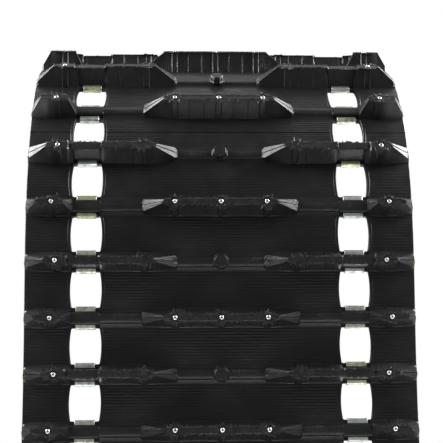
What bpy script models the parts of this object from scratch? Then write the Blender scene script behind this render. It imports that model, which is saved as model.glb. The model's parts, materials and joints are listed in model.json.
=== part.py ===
"""Endless studded rubber track, standing upright as a closed loop.

X runs across the track, Z is up and the front run faces -Y. The origin is on the floor under the loop's centre.
The belt is a ring of moulded segments that flex against each other, two cleat rows to a segment. Segment 0 is
the top of the loop, numbers grow down the front run, and segment 12 is the one on the floor.
"""

import math

import bmesh
import bpy
from mathutils import Matrix, Vector

# Belt
TRACK_WIDTH = 0.508
PITCH = 0.07264
SEGMENT_COUNT = 24
ROWS_PER_SEGMENT = 2
ROOT_SEGMENT = 12
SEAM_SEGMENT = 22  # the ring is open between this segment and the one before it
BELT_THICKNESS = 0.0065
SEAM_GAP = 0.0012  # between neighbouring segments, so that they can flex

# Outline of the loop: how strongly each harmonic gathers the curvature at the top and bottom bends
BEND_HARMONICS = (0.522, 0.212, -0.098)

# Windows, one pair between every two rows
WINDOW_X = 0.175
WINDOW_LENGTH = 0.0458
WINDOW_WIDTH_MIDDLE = 0.041
WINDOW_WIDTH_CORNER = 0.0365

# Ribs that carry the cleats
RIB_HEIGHT = 0.006
RIB_LENGTH = 0.0264
RIB_LENGTH_AT_CLIP = 0.0142
RIB_EDGE_INSET = 0.0005
CLIP_COLUMN_WIDTH = 0.036

# Cleats: where the foot and the tip start and end across the track
CLEAT_HEIGHT = 0.0295
CLEAT_FOOT_LENGTH = 0.0258
CLEAT_TIP_LENGTH = 0.0096
CENTRE_CLEAT = (-0.103, -0.0735, 0.0735, 0.103)
SHORT_CLEAT = (0.1935, 0.2045, 0.2395, 0.2532)
LONG_CLEAT = (0.056, 0.087, 0.2275, 0.2532)
BOSS_FOOT_RADIUS = 0.0115
BOSS_TIP_RADIUS = 0.0090
BOSS_HEIGHT = 0.0085

# Drive lugs on the inner face
DRIVE_LUG_X = (0.120, 0.223)
DRIVE_LUG_HEIGHT = 0.020
DRIVE_LUG_FOOT = (0.040, 0.026)
DRIVE_LUG_TIP = (0.026, 0.011)

# Stiffener rods, guide clips and studs
FIT_GAP = 0.0003
ROD_RADIUS = 0.0042
ROD_HEIGHT = 0.0023  # of the rod's axis above the belt's middle layer
ROD_LENGTH = TRACK_WIDTH + 0.002
CLIP_WIDTH = 0.0254
CLIP_THICKNESS = 0.0014
CLIP_FLANGE = 0.0052
STUD_RADIUS = 0.0030
STUD_LENGTH = 0.0100
STUD_PIN_RADIUS = 0.0013
STUD_PROUD = 0.0012
CENTRE_STUD_X = (-0.0595, 0.0, 0.0595)
SHORT_CLEAT_STUD_X = (-0.2186, 0.2186)
LONG_CLEAT_STUD_X = (-0.2128, 0.2128)

DETAILED_SEGMENTS = (1, 2, 3, 4)  # these hold their rods and clips as loose pieces
STUDDED_SEGMENT = 3  # this one holds its studs as loose pieces too
ROUND_SIDES = 12

SEGMENT_LENGTH = ROWS_PER_SEGMENT * PITCH
LOOP_LENGTH = SEGMENT_COUNT * SEGMENT_LENGTH
ROW_COUNT = ROWS_PER_SEGMENT * SEGMENT_COUNT
BAR_LENGTH = PITCH - WINDOW_LENGTH
OUTER_FACE = BELT_THICKNESS / 2
INNER_FACE = -BELT_THICKNESS / 2
CLEAT_TIP = OUTER_FACE + CLEAT_HEIGHT
OVERLAP = 0.002  # how deep a joined shape reaches into its neighbour
CUT_MARGIN = 0.004  # how far a cutter reaches past what it cuts
SNAP = 0.0002  # a cut this close to a corner goes through it
MERGE = 0.00002  # corners this close are one
FLAT_ANGLE = math.radians(0.2)  # faces that turn less than this are one


# ---------------------------------------------------------------- the loop's outline

def heading(along):
    """Angle of the outline below the horizontal, at a distance from the top centre down the front run."""
    phase = 4 * math.pi * along / LOOP_LENGTH
    waves = sum(share * math.sin((n + 1) * phase) for n, share in enumerate(BEND_HARMONICS))
    return phase / 2 + waves


def stretch(start_heading, turn, length):
    """(Y, Z) displacement along a stretch of constant curvature."""
    if abs(turn) < 1e-9:
        return Vector((-math.cos(start_heading) * length, -math.sin(start_heading) * length))
    radius = length / turn
    end_heading = start_heading + turn
    return Vector((
        radius * (math.sin(start_heading) - math.sin(end_heading)),
        radius * (math.cos(end_heading) - math.cos(start_heading)),
    ))


def row_distance(row):
    return (row - 0.5) * PITCH


def row_centres():
    """(Y, Z) of each row's centre: flat bars at the rows, arcs across the windows between them."""
    first_heading = heading(row_distance(1))
    centre = stretch(0, first_heading, WINDOW_LENGTH / 2) + stretch(first_heading, 0, BAR_LENGTH / 2)
    centres = {1: centre}
    for row in range(1, ROW_COUNT):
        here = heading(row_distance(row))
        after = heading(row_distance(row + 1))
        centre = centre + stretch(here, 0, BAR_LENGTH / 2)
        centre = centre + stretch(here, after - here, WINDOW_LENGTH)
        centre = centre + stretch(after, 0, BAR_LENGTH / 2)
        centres[row + 1] = centre
    return centres


CENTRES = row_centres()


def loop_point(along):
    """(Y, Z, heading) of the belt's middle layer, with the top centre at (0, 0)."""
    along = along % LOOP_LENGTH
    row = math.floor(along / PITCH) + 1
    here = heading(row_distance(row))
    offset = along - row_distance(row)
    side = math.copysign(1, offset)
    if abs(offset) <= BAR_LENGTH / 2:
        point = CENTRES[row] + stretch(here, 0, offset)
        return point.x, point.y, here
    beyond = heading(row_distance(row) + side * PITCH)
    into_web = offset - side * BAR_LENGTH / 2
    turn = (beyond - here) * abs(into_web) / WINDOW_LENGTH
    point = CENTRES[row] + stretch(here, 0, side * BAR_LENGTH / 2) + stretch(here, turn, into_web)
    return point.x, point.y, here + turn


def floor_drop():
    """How far the lowest cleat tips lie below the top centre of the belt."""
    row = ROOT_SEGMENT * ROWS_PER_SEGMENT
    y, z, angle = loop_point(row_distance(row))
    lean = abs(math.sin(angle)) * CLEAT_TIP_LENGTH / 2
    return -(z + math.cos(angle) * CLEAT_TIP) + lean


TOP_CENTRE_Z = floor_drop()


def frame_at(along):
    """Matrix whose X runs across the track, -Y along it and Z out of it."""
    y, z, angle = loop_point(along)
    return Matrix.Translation((0, y, z + TOP_CENTRE_Z)) @ Matrix.Rotation(angle, 4, "X")


def bend(x, along, height):
    """World place of a point given across the track, along it and above its middle layer."""
    return frame_at(along) @ Vector((x, 0, height))


# ---------------------------------------------------------------- modelling helpers

def clear_scene():
    for old in list(bpy.data.objects):
        bpy.data.objects.remove(old, do_unlink=True)


def new_collection(name):
    collection = bpy.data.collections.new(name)
    bpy.context.scene.collection.children.link(collection)
    return collection


def make_material(name, colour, roughness, metallic):
    material = bpy.data.materials.new(name)
    material.use_nodes = True
    shader = material.node_tree.nodes["Principled BSDF"]
    shader.inputs["Base Color"].default_value = (*colour, 1)
    shader.inputs["Roughness"].default_value = roughness
    shader.inputs["Metallic"].default_value = metallic
    material.diffuse_color = (*colour, 1)
    return material


def make_object(name, mesh_maker, collection):
    """New object whose mesh is filled by mesh_maker(bm)."""
    mesh = bpy.data.meshes.new(name)
    bm = bmesh.new()
    mesh_maker(bm)
    bm.normal_update()
    bm.to_mesh(mesh)
    bm.free()
    created = bpy.data.objects.new(name, mesh)
    collection.objects.link(created)
    return created


def cutter(name, mesh_maker):
    tool = make_object(name, mesh_maker, GUIDES)
    tool.hide_render = True
    tool.display_type = "WIRE"
    return tool


def add_block(bm, low, high):
    """Box between two corners; returns its vertices."""
    size = [b - a for a, b in zip(low, high)]
    middle = [(a + b) / 2 for a, b in zip(low, high)]
    place = Matrix.Translation(middle) @ Matrix.Diagonal((*size, 1))
    return bmesh.ops.create_cube(bm, size=1, matrix=place)["verts"]


def add_round(bm, foot_radius, tip_radius, bottom, top, x=0.0, y=0.0, sides=ROUND_SIDES):
    """Upright cylinder or cone with closed ends."""
    turned = Matrix.Rotation(math.pi / sides, 4, "Z")
    place = Matrix.Translation((x, y, (bottom + top) / 2)) @ turned
    bmesh.ops.create_cone(
        bm, cap_ends=True, segments=sides, radius1=foot_radius, radius2=tip_radius, depth=top - bottom, matrix=place
    )


def join(target, tool, operation):
    step = target.modifiers.new(tool.name, "BOOLEAN")
    step.operation = operation
    step.solver = "EXACT"
    step.object = tool


def cut_across(bm, y):
    """Adds a line of edges through everything at one Y."""
    everything = bm.verts[:] + bm.edges[:] + bm.faces[:]
    bmesh.ops.bisect_plane(bm, geom=everything, dist=SNAP, plane_co=(0, y, 0), plane_no=(0, 1, 0))


def evaluated_mesh(source):
    graph = bpy.context.evaluated_depsgraph_get()
    return bpy.data.meshes.new_from_object(source.evaluated_get(graph), depsgraph=graph)


# ---------------------------------------------------------------- shapes of a flat segment
# A flat segment lies in the XY plane with its outer face up. Its front end, further along the loop, is at -Y.

ROW_Y = {"long": PITCH / 2, "centre": -PITCH / 2}


def belt_slab(bm):
    half = SEGMENT_LENGTH / 2 - SEAM_GAP / 2
    add_block(bm, (-TRACK_WIDTH / 2, -half, INNER_FACE), (TRACK_WIDTH / 2, half, OUTER_FACE))


def window(bm, x, y):
    """Window cutter whose sides bow outwards between its corners."""
    half = WINDOW_LENGTH / 2
    low = (x - WINDOW_WIDTH_MIDDLE / 2, y - half, INNER_FACE - CUT_MARGIN)
    high = (x + WINDOW_WIDTH_MIDDLE / 2, y + half, OUTER_FACE + CUT_MARGIN)
    add_block(bm, low, high)
    cut_across(bm, y)
    narrowing = 1 - WINDOW_WIDTH_CORNER / WINDOW_WIDTH_MIDDLE
    for vertex in bm.verts:
        pinch = 1 - narrowing * ((vertex.co.y - y) / half) ** 2
        vertex.co.x = x + (vertex.co.x - x) * pinch


def rib(bm, y):
    edge = TRACK_WIDTH / 2 - RIB_EDGE_INSET
    add_block(bm, (-edge, y - RIB_LENGTH / 2, 0), (edge, y + RIB_LENGTH / 2, OUTER_FACE + RIB_HEIGHT))


def clip_recess(bm, x, y, side):
    """Cutter that bares the belt for a guide clip's flange, on one side of a row."""
    low_y, high_y = sorted((y + side * RIB_LENGTH_AT_CLIP / 2, y + side * (RIB_LENGTH / 2 + CUT_MARGIN)))
    low = (x - CLIP_COLUMN_WIDTH / 2, low_y, OUTER_FACE)
    add_block(bm, low, (x + CLIP_COLUMN_WIDTH / 2, high_y, CLEAT_TIP + CUT_MARGIN))


def cleat(bm, across, y, mirrored):
    """Tapered cleat with sloping ends, from (foot start, tip start, tip end, foot end)."""
    foot_start, tip_start, tip_end, foot_end = across
    bottom = OUTER_FACE + RIB_HEIGHT - OVERLAP
    for vertex in add_block(bm, (-0.5, -0.5, bottom), (0.5, 0.5, CLEAT_TIP)):
        at_tip = vertex.co.z > bottom + OVERLAP
        start, end = (tip_start, tip_end) if at_tip else (foot_start, foot_end)
        length = CLEAT_TIP_LENGTH if at_tip else CLEAT_FOOT_LENGTH
        vertex.co.x = start if vertex.co.x < 0 else end
        vertex.co.y = y + math.copysign(length / 2, vertex.co.y)
        if mirrored:
            vertex.co.x = -vertex.co.x
    if mirrored:
        bmesh.ops.reverse_faces(bm, faces=bm.faces[:])


def boss(bm, y):
    bottom = OUTER_FACE + RIB_HEIGHT - OVERLAP
    add_round(bm, BOSS_FOOT_RADIUS, BOSS_TIP_RADIUS, bottom, bottom + OVERLAP + BOSS_HEIGHT, y=y, sides=8)


def drive_lug(bm, x, y):
    """Tapered tooth that points into the loop."""
    tip = INNER_FACE - DRIVE_LUG_HEIGHT
    for vertex in add_block(bm, (-0.5, -0.5, tip), (0.5, 0.5, INNER_FACE + OVERLAP)):
        width, length = DRIVE_LUG_TIP if vertex.co.z < INNER_FACE else DRIVE_LUG_FOOT
        vertex.co.x = x + math.copysign(width / 2, vertex.co.x)
        vertex.co.y = y + math.copysign(length / 2, vertex.co.y)


def rod_bore(bm, y):
    length = TRACK_WIDTH + 2 * CUT_MARGIN
    place = Matrix.Translation((0, y, ROD_HEIGHT)) @ Matrix.Rotation(math.pi / 2, 4, "Y")
    radius = ROD_RADIUS + FIT_GAP
    bmesh.ops.create_cone(
        bm, cap_ends=True, segments=ROUND_SIDES, radius1=radius, radius2=radius, depth=length, matrix=place
    )


def stud_bore(bm, x, y):
    radius = STUD_RADIUS + FIT_GAP
    add_round(bm, radius, radius, CLEAT_TIP - STUD_LENGTH - FIT_GAP, CLEAT_TIP + CUT_MARGIN, x=x, y=y)


def stud_places():
    """(name, X, Y) of every stud of a flat segment."""
    places = [(f"centre_{n}", x, ROW_Y["centre"]) for n, x in enumerate(CENTRE_STUD_X)]
    places += [(f"short_{n}", x, ROW_Y["centre"]) for n, x in enumerate(SHORT_CLEAT_STUD_X)]
    places += [(f"long_{n}", x, ROW_Y["long"]) for n, x in enumerate(LONG_CLEAT_STUD_X)]
    return places


def flat_segment(label, with_rods, with_studs):
    """Mesh of one flat segment: everything that is moulded in one piece, with its bores."""
    blank = make_object(f"blank_{label}", belt_slab, GUIDES)
    steps = []
    for y in (-PITCH, 0.0, PITCH):
        for x in (-WINDOW_X, WINDOW_X):
            steps.append(("DIFFERENCE", lambda bm, x=x, y=y: window(bm, x, y)))
    for y in ROW_Y.values():
        steps.append(("UNION", lambda bm, y=y: rib(bm, y)))
        for x in DRIVE_LUG_X:
            for mirror in (-1, 1):
                steps.append(("UNION", lambda bm, x=x * mirror, y=y: drive_lug(bm, x, y)))
    steps.append(("UNION", lambda bm: cleat(bm, CENTRE_CLEAT, ROW_Y["centre"], False)))
    for mirrored in (False, True):
        steps.append(("UNION", lambda bm, m=mirrored: cleat(bm, SHORT_CLEAT, ROW_Y["centre"], m)))
        steps.append(("UNION", lambda bm, m=mirrored: cleat(bm, LONG_CLEAT, ROW_Y["long"], m)))
    steps.append(("UNION", lambda bm: boss(bm, ROW_Y["long"])))
    for y in ROW_Y.values():
        for x in (-WINDOW_X, WINDOW_X):
            for side in (-1, 1):
                steps.append(("DIFFERENCE", lambda bm, x=x, y=y, side=side: clip_recess(bm, x, y, side)))
    if with_rods:
        for y in ROW_Y.values():
            steps.append(("DIFFERENCE", lambda bm, y=y: rod_bore(bm, y)))
    if with_studs:
        for _, x, y in stud_places():
            steps.append(("DIFFERENCE", lambda bm, x=x, y=y: stud_bore(bm, x, y)))
    for number, (operation, maker) in enumerate(steps):
        join(blank, cutter(f"shape_{label}_{number}", maker), operation)
    mesh = ready_to_bend(evaluated_mesh(blank))
    blank.hide_render = True
    blank.display_type = "WIRE"
    return mesh


def ready_to_bend(flat):
    """The flat mesh in few triangles, with cuts across its webs so that it can follow the loop's curve."""
    bm = bmesh.new()
    bm.from_mesh(flat)
    bmesh.ops.remove_doubles(bm, verts=bm.verts[:], dist=MERGE)
    bmesh.ops.dissolve_limit(bm, angle_limit=FLAT_ANGLE, verts=bm.verts[:], edges=bm.edges[:])
    half_window = WINDOW_LENGTH / 2
    end_web = PITCH - half_window
    for y in (-end_web, -half_window, 0.0, half_window, end_web):
        cut_across(bm, y)
    bmesh.ops.triangulate(bm, faces=bm.faces[:])
    bm.to_mesh(flat)
    bm.free()
    return flat


# ---------------------------------------------------------------- loose pieces

def clip_profile():
    """(Y, Z) outline of a folded guide clip around a bar: outer skin, then inner skin."""
    inner_y = BAR_LENGTH / 2 + FIT_GAP
    low_z = INNER_FACE - FIT_GAP
    high_z = OUTER_FACE + FIT_GAP
    lip_y = inner_y - CLIP_FLANGE
    skin = CLIP_THICKNESS
    right = [
        (inner_y + skin, low_z - skin), (inner_y + skin, high_z + skin), (lip_y, high_z + skin),
        (lip_y, high_z), (inner_y, high_z), (inner_y, low_z),
    ]
    return right + [(-y, z) for y, z in reversed(right)]


def clip_shape(bm):
    """The clip's outline, extruded across the track."""
    loop = [bm.verts.new((-CLIP_WIDTH / 2, y, z)) for y, z in clip_profile()]
    face = bm.faces.new(loop)
    grown = bmesh.ops.extrude_face_region(bm, geom=[face])["geom"]
    moved = [item for item in grown if isinstance(item, bmesh.types.BMVert)]
    bmesh.ops.translate(bm, verts=moved, vec=(CLIP_WIDTH, 0, 0))
    bmesh.ops.recalc_face_normals(bm, faces=bm.faces[:])


def rod_shape(bm):
    bmesh.ops.create_cone(
        bm, cap_ends=True, segments=ROUND_SIDES, radius1=ROD_RADIUS, radius2=ROD_RADIUS, depth=ROD_LENGTH,
        matrix=Matrix.Rotation(math.pi / 2, 4, "Y"),
    )


def stud_mesh(material):
    """Stud turned about Z with its rim at Z = 0: a plain body with a hard pin standing proud."""
    mesh = bpy.data.meshes.new("stud")
    profile = [
        (0, STUD_PROUD), (STUD_PIN_RADIUS, STUD_PROUD), (STUD_PIN_RADIUS, 0),
        (STUD_RADIUS, 0), (STUD_RADIUS, -STUD_LENGTH), (0, -STUD_LENGTH),
    ]
    mesh.from_pydata([(x, 0, z) for x, z in profile], [(n, n + 1) for n in range(len(profile) - 1)], [])
    source = bpy.data.objects.new("stud_profile", mesh)
    GUIDES.objects.link(source)
    turn = source.modifiers.new("turn", "SCREW")
    turn.steps = ROUND_SIDES
    turn.render_steps = ROUND_SIDES
    turn.use_merge_vertices = True
    turn.merge_threshold = 0.00001
    turned = evaluated_mesh(source)
    turned.materials.clear()
    turned.materials.append(material)
    source.hide_render = True
    source.display_type = "WIRE"
    return turned


# ---------------------------------------------------------------- assembly

def hinge_order():
    """Segments from the root outwards as (segment, the segment that carries it)."""
    order = []
    for step in (-1, 1):
        carrier = ROOT_SEGMENT
        stop = SEAM_SEGMENT if step < 0 else SEAM_SEGMENT - 1
        while carrier != stop:
            segment = (carrier + step) % SEGMENT_COUNT
            order.append((segment, carrier))
            carrier = segment
    return order


def hinge_distance(segment, carrier):
    """Distance along the loop of the hinge between two neighbouring segments."""
    lower = carrier if (segment - carrier) % SEGMENT_COUNT == 1 else segment
    return (lower + 0.5) * SEGMENT_LENGTH


def make_pivots():
    """One empty per segment, on the hinge that carries it."""
    places = {ROOT_SEGMENT: frame_at(ROOT_SEGMENT * SEGMENT_LENGTH).translation}
    carriers = {ROOT_SEGMENT: None}
    for segment, carrier in hinge_order():
        places[segment] = frame_at(hinge_distance(segment, carrier)).translation
        carriers[segment] = carrier
    pivots = {}
    for segment, place in places.items():
        pivot = bpy.data.objects.new(f"pivot_{segment:02d}", None)
        pivot.empty_display_size = 0.02
        PARTS.objects.link(pivot)
        carrier = carriers[segment]
        if carrier is None:
            pivot.location = place
        else:
            pivot.parent = pivots[carrier]
            pivot.location = place - places[carrier]
        pivots[segment] = pivot
    return pivots, places


def place_piece(piece, segment, matrix):
    """Puts a piece at a world matrix, under the pivot of its segment."""
    piece.parent = PIVOTS[segment]
    shifted = Matrix.Translation(-PLACES[segment]) @ matrix
    piece.location = shifted.to_translation()
    piece.rotation_euler = shifted.to_euler()


def bent_segment(segment, flat, material):
    """Belt segment with its flat mesh bent along its stretch of the loop, its origin on its hinge."""
    name = f"belt_segment_{segment:02d}"
    middle = segment * SEGMENT_LENGTH

    def shape(bm):
        bm.from_mesh(flat)
        for vertex in bm.verts:
            x, y, z = vertex.co
            vertex.co = bend(x, middle - y, z) - PLACES[segment]

    piece = make_object(name, shape, PARTS)
    piece.data.materials.clear()
    piece.data.materials.append(material)
    piece.parent = PIVOTS[segment]


def rows_of(segment):
    """(row name, distance along the loop) of a segment's two rows."""
    return [(kind, segment * SEGMENT_LENGTH - y) for kind, y in ROW_Y.items()]


def add_rods_and_clips(segment):
    for kind, along in rows_of(segment):
        frame = frame_at(along)
        rod = make_object(f"rod_{segment:02d}_{kind}", rod_shape, PARTS)
        rod.data.materials.append(FIBREGLASS)
        place_piece(rod, segment, frame @ Matrix.Translation((0, 0, ROD_HEIGHT)))
        for side, x in (("left", -WINDOW_X), ("right", WINDOW_X)):
            clip = make_object(f"clip_{segment:02d}_{kind}_{side}", clip_shape, PARTS)
            clip.data.materials.append(PLATED_STEEL)
            place_piece(clip, segment, frame @ Matrix.Translation((x, 0, 0)))


def add_studs(segment):
    mesh = stud_mesh(STUD_STEEL)
    rows = dict(rows_of(segment))
    for name, x, y in stud_places():
        kind = "long" if y == ROW_Y["long"] else "centre"
        stud = bpy.data.objects.new(f"stud_{segment:02d}_{name}", mesh)
        PARTS.objects.link(stud)
        place_piece(stud, segment, frame_at(rows[kind]) @ Matrix.Translation((x, 0, CLEAT_TIP)))


clear_scene()
PARTS = new_collection("rubber_track")
GUIDES = new_collection("cutters")
RUBBER = make_material("rubber", (0.020, 0.020, 0.022), 0.55, 0.0)
FIBREGLASS = make_material("fibreglass", (0.42, 0.38, 0.26), 0.5, 0.0)
PLATED_STEEL = make_material("plated_steel", (0.62, 0.62, 0.46), 0.3, 0.9)
STUD_STEEL = make_material("stud_steel", (0.60, 0.60, 0.62), 0.3, 1.0)
PIVOTS, PLACES = make_pivots()

FLAT_PLAIN = flat_segment("plain", False, False)
FLAT_BORED = flat_segment("bored", True, False)
FLAT_STUDDED = flat_segment("studded", True, True)

for number in range(SEGMENT_COUNT):
    if number == STUDDED_SEGMENT:
        bent_segment(number, FLAT_STUDDED, RUBBER)
    elif number in DETAILED_SEGMENTS:
        bent_segment(number, FLAT_BORED, RUBBER)
    else:
        bent_segment(number, FLAT_PLAIN, RUBBER)
for number in DETAILED_SEGMENTS:
    add_rods_and_clips(number)
add_studs(STUDDED_SEGMENT)
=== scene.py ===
"""Looks of the studded rubber track: moulded belt with cleats, guide clips, studs and stiffener rods.

Shapes are laid out flat, in millimetres across the track (x), along the loop (s) and above the belt's
middle layer (h), and are then bent along the loop's outline. Row 0 is the first one in front of the
top centre.
"""

import json
import math

import bmesh
import bpy
import numpy as np
from mathutils import Matrix, Vector


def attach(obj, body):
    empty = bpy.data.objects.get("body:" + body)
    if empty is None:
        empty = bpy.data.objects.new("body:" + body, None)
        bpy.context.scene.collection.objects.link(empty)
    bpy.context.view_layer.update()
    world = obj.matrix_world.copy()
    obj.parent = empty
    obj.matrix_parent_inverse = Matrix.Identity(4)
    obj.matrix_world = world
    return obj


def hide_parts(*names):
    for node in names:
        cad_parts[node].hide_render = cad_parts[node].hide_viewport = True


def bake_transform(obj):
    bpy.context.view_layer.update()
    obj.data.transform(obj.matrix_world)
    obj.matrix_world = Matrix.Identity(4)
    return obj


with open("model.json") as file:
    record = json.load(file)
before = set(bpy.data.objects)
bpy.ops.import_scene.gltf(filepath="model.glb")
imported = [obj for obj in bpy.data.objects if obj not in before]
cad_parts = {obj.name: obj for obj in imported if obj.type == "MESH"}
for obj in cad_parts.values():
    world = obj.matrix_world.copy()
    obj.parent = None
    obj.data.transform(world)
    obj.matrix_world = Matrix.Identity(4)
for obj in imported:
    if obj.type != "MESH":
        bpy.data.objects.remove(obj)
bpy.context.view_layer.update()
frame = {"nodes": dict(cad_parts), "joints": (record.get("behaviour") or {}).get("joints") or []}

MM = 0.001
HAIR = 1e-6

# Belt and loop
HALF_WIDTH = 254.0
PITCH = 72.64
SEGMENTS = 24
ROWS = 2 * SEGMENTS
SEAM_SEGMENT = 22
LOOP = ROWS * PITCH
OUTER = 3.25
INNER = -3.25
BEND_HARMONICS = (0.522, 0.212, -0.098)

# Windows
WINDOW_X = 175.0
WINDOW_LENGTH = 45.8
WINDOW_HALF_MIDDLE = 20.5
WINDOW_HALF_CORNER = 18.25
WINDOW_CORNER_RADIUS = 1.2
BAR_HALF = (PITCH - WINDOW_LENGTH) / 2
WINDOW_LOW = WINDOW_X - WINDOW_HALF_CORNER
WINDOW_HIGH = WINDOW_X + WINDOW_HALF_CORNER
WINDOW_MARKS = (162.0, 188.0)
BORDER_REACHES = (0.8, 3.2, 3.9)
BORDER_HEIGHT = 0.45
BORDER_EASE = 0.5
EDGE_EASE = 0.6
BAR_EASE = 0.12
BAR_CHAMFER = (1.0, 0.8)

# Ribs and cleats
RIB_HEIGHT = 6.0
RIB_HALF = 7.7
RIB_HALF_AT_CLIP = 8.1
RIB_POWER = 2.3
RIB_POWER_AT_CLIP = 5.0
RIB_OFFSETS = (0.0, 2.0, 3.6, 5.0, 5.8, 6.5, 7.1, 7.5, 8.5, 9.8, 11.2, 12.3, 13.0)
RIB_OFFSETS_AT_CLIP = (0.0, 2.2, 4.2, 5.8, 6.6, 7.1, 7.4, 7.6, 7.75, 7.88, 7.98, 8.05, 8.1)
PAD_HEIGHT = 2.3
PAD_HALF = 13.0
PAD_OVERLAP = 0.6
PAD_POWER = 1.3
CLEAT_RISE = 23.5
FOOT_HALF = 11.6
FOOT_NARROW = 9.6
FOOT_HALF_AT_CLIP = 7.6
FOOT_BULGE = 0.9
FOOT_BULGE_REACH = 22
TIP_HALF = 4.3
TIP_HALF_AT_CLIP = 4.8
TIP_TAPER = 8.0
TIP_RIM = 0.55
FACET_TOP_HALF = 2.1
FACET_FOOT_HALF = 8.3
FACET_GROOVE = 1.3
RIM_INSETS = (0.95, 0.5)
GROOVE_OFFSETS = (0.45, 0.8)
FINGER_EXTRA = 2.0
FINGER_CORE = 3.2
FINGER_FADE = 1.4
FINGER_TOP_SHARE = 0.35
VENT_EXTRA = 0.5
VENT_HALF = 0.9
VENT_TOP_HALF = 0.4
TIP_ROUGHNESS = 0.3
END_SHARE = 0.55
CENTRE_CUT = ((73.5, 103.0, 193.25, 204.5, 239.5, 253.2), (1, 0, 0, 1, 1, 0))
LONG_CUT = ((56.0, 87.0, 155.9, 156.75, 198.0, 200.0, 227.5, 253.2), (0, 1, 1, 0.9, 0.9, 1, 1, 0))
SLOPE_MARKS = (56.0, 73.5, 87.0, 103.0, 198.0, 200.0, 204.5, 227.5, 239.5)
CENTRE_CORNERS = (73.5, 204.5, 239.5)
LONG_CORNERS = (87.0, 227.5)
CENTRE_BLADES = ((-73.5, 73.5), (204.5, 239.5), (-239.5, -204.5))
LONG_BLADES = ((87.0, 227.5), (-227.5, -87.0))
CENTRE_FINGERS = (0.0, 59.5, 218.6)
LONG_FINGERS = (99.0, 212.8)
CENTRE_VENTS = (19.8, 39.7)
LONG_VENTS = (115.0, 136.0)
CENTRE_STUDS = (-218.6, -59.5, 0.0, 59.5, 218.6)
LONG_STUDS = (-212.8, 212.8)
FLANK_LEVELS = (1.0, 0.86, 0.68, 0.5, 0.32, 0.15, 0.0)
FLANK_POWER = 1.25
FLANK_LOW = 0.5
FLANK_LOW_AT_CLIP = 3.5
TIP_EASE = 0.2
TIP_EASE_AT_CLIP = 0.35
SHOULDER_SHARES = (0.45, 0.8, 1.0)
SHOULDER_HEIGHTS = (0.25, 0.08, 0.0)
SHOULDER_HALVES_AT_CLIP = (7.85, 8.0, 8.1)
SHOULDER_HEIGHTS_AT_CLIP = (2.4, 1.2, 0.0)
SLOPE_END = 0.06

# Fine ridges across the webs
RIDGE_COUNT = 6
RIDGE_PITCH = WINDOW_LENGTH / 2 / RIDGE_COUNT
RIDGE_HEIGHT = 0.28
RIDGE_HALF = 0.75
RIDGE_TOP_HALF = 0.25
RIDGE_KNOTS = 60
WEB_START = 0.45

# The moulds' parting line lies across the web behind this row
MOULD_LINE_ROW = 2
MOULD_LINE_DEPTH = 1.6
MOULD_LINE_HALF = 0.5

# Drive lugs inside the loop
LUG_X = (120.0, 223.0)
LUG_HEIGHT = 20.0
LUG_X_LEVELS = ((20.0, 0.0), (16.5, 0.55), (13.0, 1.0))
LUG_S_LEVELS = ((13.0, 0.0), (9.2, 0.55), (5.5, 1.0))
INNER_MARKS = (0, 25, 50, 75)

# Guide clips, studs, rods
CLIP_WIDTH = 25.4
CLIP_SKIN = 1.4
CLIP_GAP = 0.3
CLIP_FLANGE = 5.2
CLIP_OUTER_BEND = 3.1
CLIP_INNER_BEND = 1.7
CLIP_EASE = 0.35
CLIP_SHIFT = 0.25
CLIP_SKEW = 0.0008
ROD_RADIUS = 4.2
ROD_CHAMFER = 0.6
ROD_SIDES = 24
ROD_HEIGHT = 2.3
ROD_HALF = 255.0
CLEAT_TIP = OUTER + RIB_HEIGHT + CLEAT_RISE

# Largest angle between faces that still shade as one smooth surface
BELT_SMOOTH = 29
CLIP_SMOOTH = 30
TURNED_SMOOTH = 40


# ---------------------------------------------------------------- the loop's outline

def heading(along):
    phase = 4 * math.pi * along / LOOP
    waves = sum(share * np.sin((n + 1) * phase) for n, share in enumerate(BEND_HARMONICS))
    return phase / 2 + waves


def arc(start_heading, turn, length):
    """(y, z) displacement along a stretch of constant curvature."""
    chord = length * np.sinc(turn / 2 / np.pi)
    middle = start_heading + turn / 2
    return -np.cos(middle) * chord, -np.sin(middle) * chord


def row_centres():
    """y and z of every row's centre, with the belt's top centre at (0, 0)."""
    here = float(heading(0.5 * PITCH))
    y, z = arc(0.0, here, WINDOW_LENGTH / 2)
    ys = [y - math.cos(here) * BAR_HALF]
    zs = [z - math.sin(here) * BAR_HALF]
    for row in range(1, ROWS):
        after = float(heading((row + 0.5) * PITCH))
        dy, dz = arc(here, after - here, WINDOW_LENGTH)
        ys.append(ys[-1] + dy - (math.cos(here) + math.cos(after)) * BAR_HALF)
        zs.append(zs[-1] + dz - (math.sin(here) + math.sin(after)) * BAR_HALF)
        here = after
    return np.array(ys), np.array(zs)


ROW_Y, ROW_Z = row_centres()


def outline(along):
    """y, z and heading of the belt's middle layer at distances along the loop."""
    along = np.asarray(along, float)
    row = np.clip(np.floor(along / PITCH).astype(int), 0, ROWS - 1)
    offset = along - (row + 0.5) * PITCH
    here = heading((row + 0.5) * PITCH)
    beyond = heading((row + 0.5 + np.sign(offset)) * PITCH)
    on_bar = np.clip(offset, -BAR_HALF, BAR_HALF)
    on_web = offset - on_bar
    turn = (beyond - here) * np.abs(on_web) / WINDOW_LENGTH
    dy, dz = arc(here, turn, on_web)
    y = ROW_Y[row] - np.cos(here) * on_bar + dy
    z = ROW_Z[row] - np.sin(here) * on_bar + dz
    return y, z, here + turn


def joint_place(name):
    return Vector(next(j["pos_m"] for j in frame["joints"] if j["name"] == name))


TOP_Z = joint_place("flex_00").z - float(outline(PITCH)[1]) * MM


def bend(points):
    """World places, in metres, of flat points (x, s, h) in millimetres."""
    y, z, angle = outline(points[:, 1])
    h = points[:, 2]
    world = np.stack([points[:, 0], y - np.sin(angle) * h, z + np.cos(angle) * h], axis=1) * MM
    world[:, 2] += TOP_Z
    return world


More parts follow.
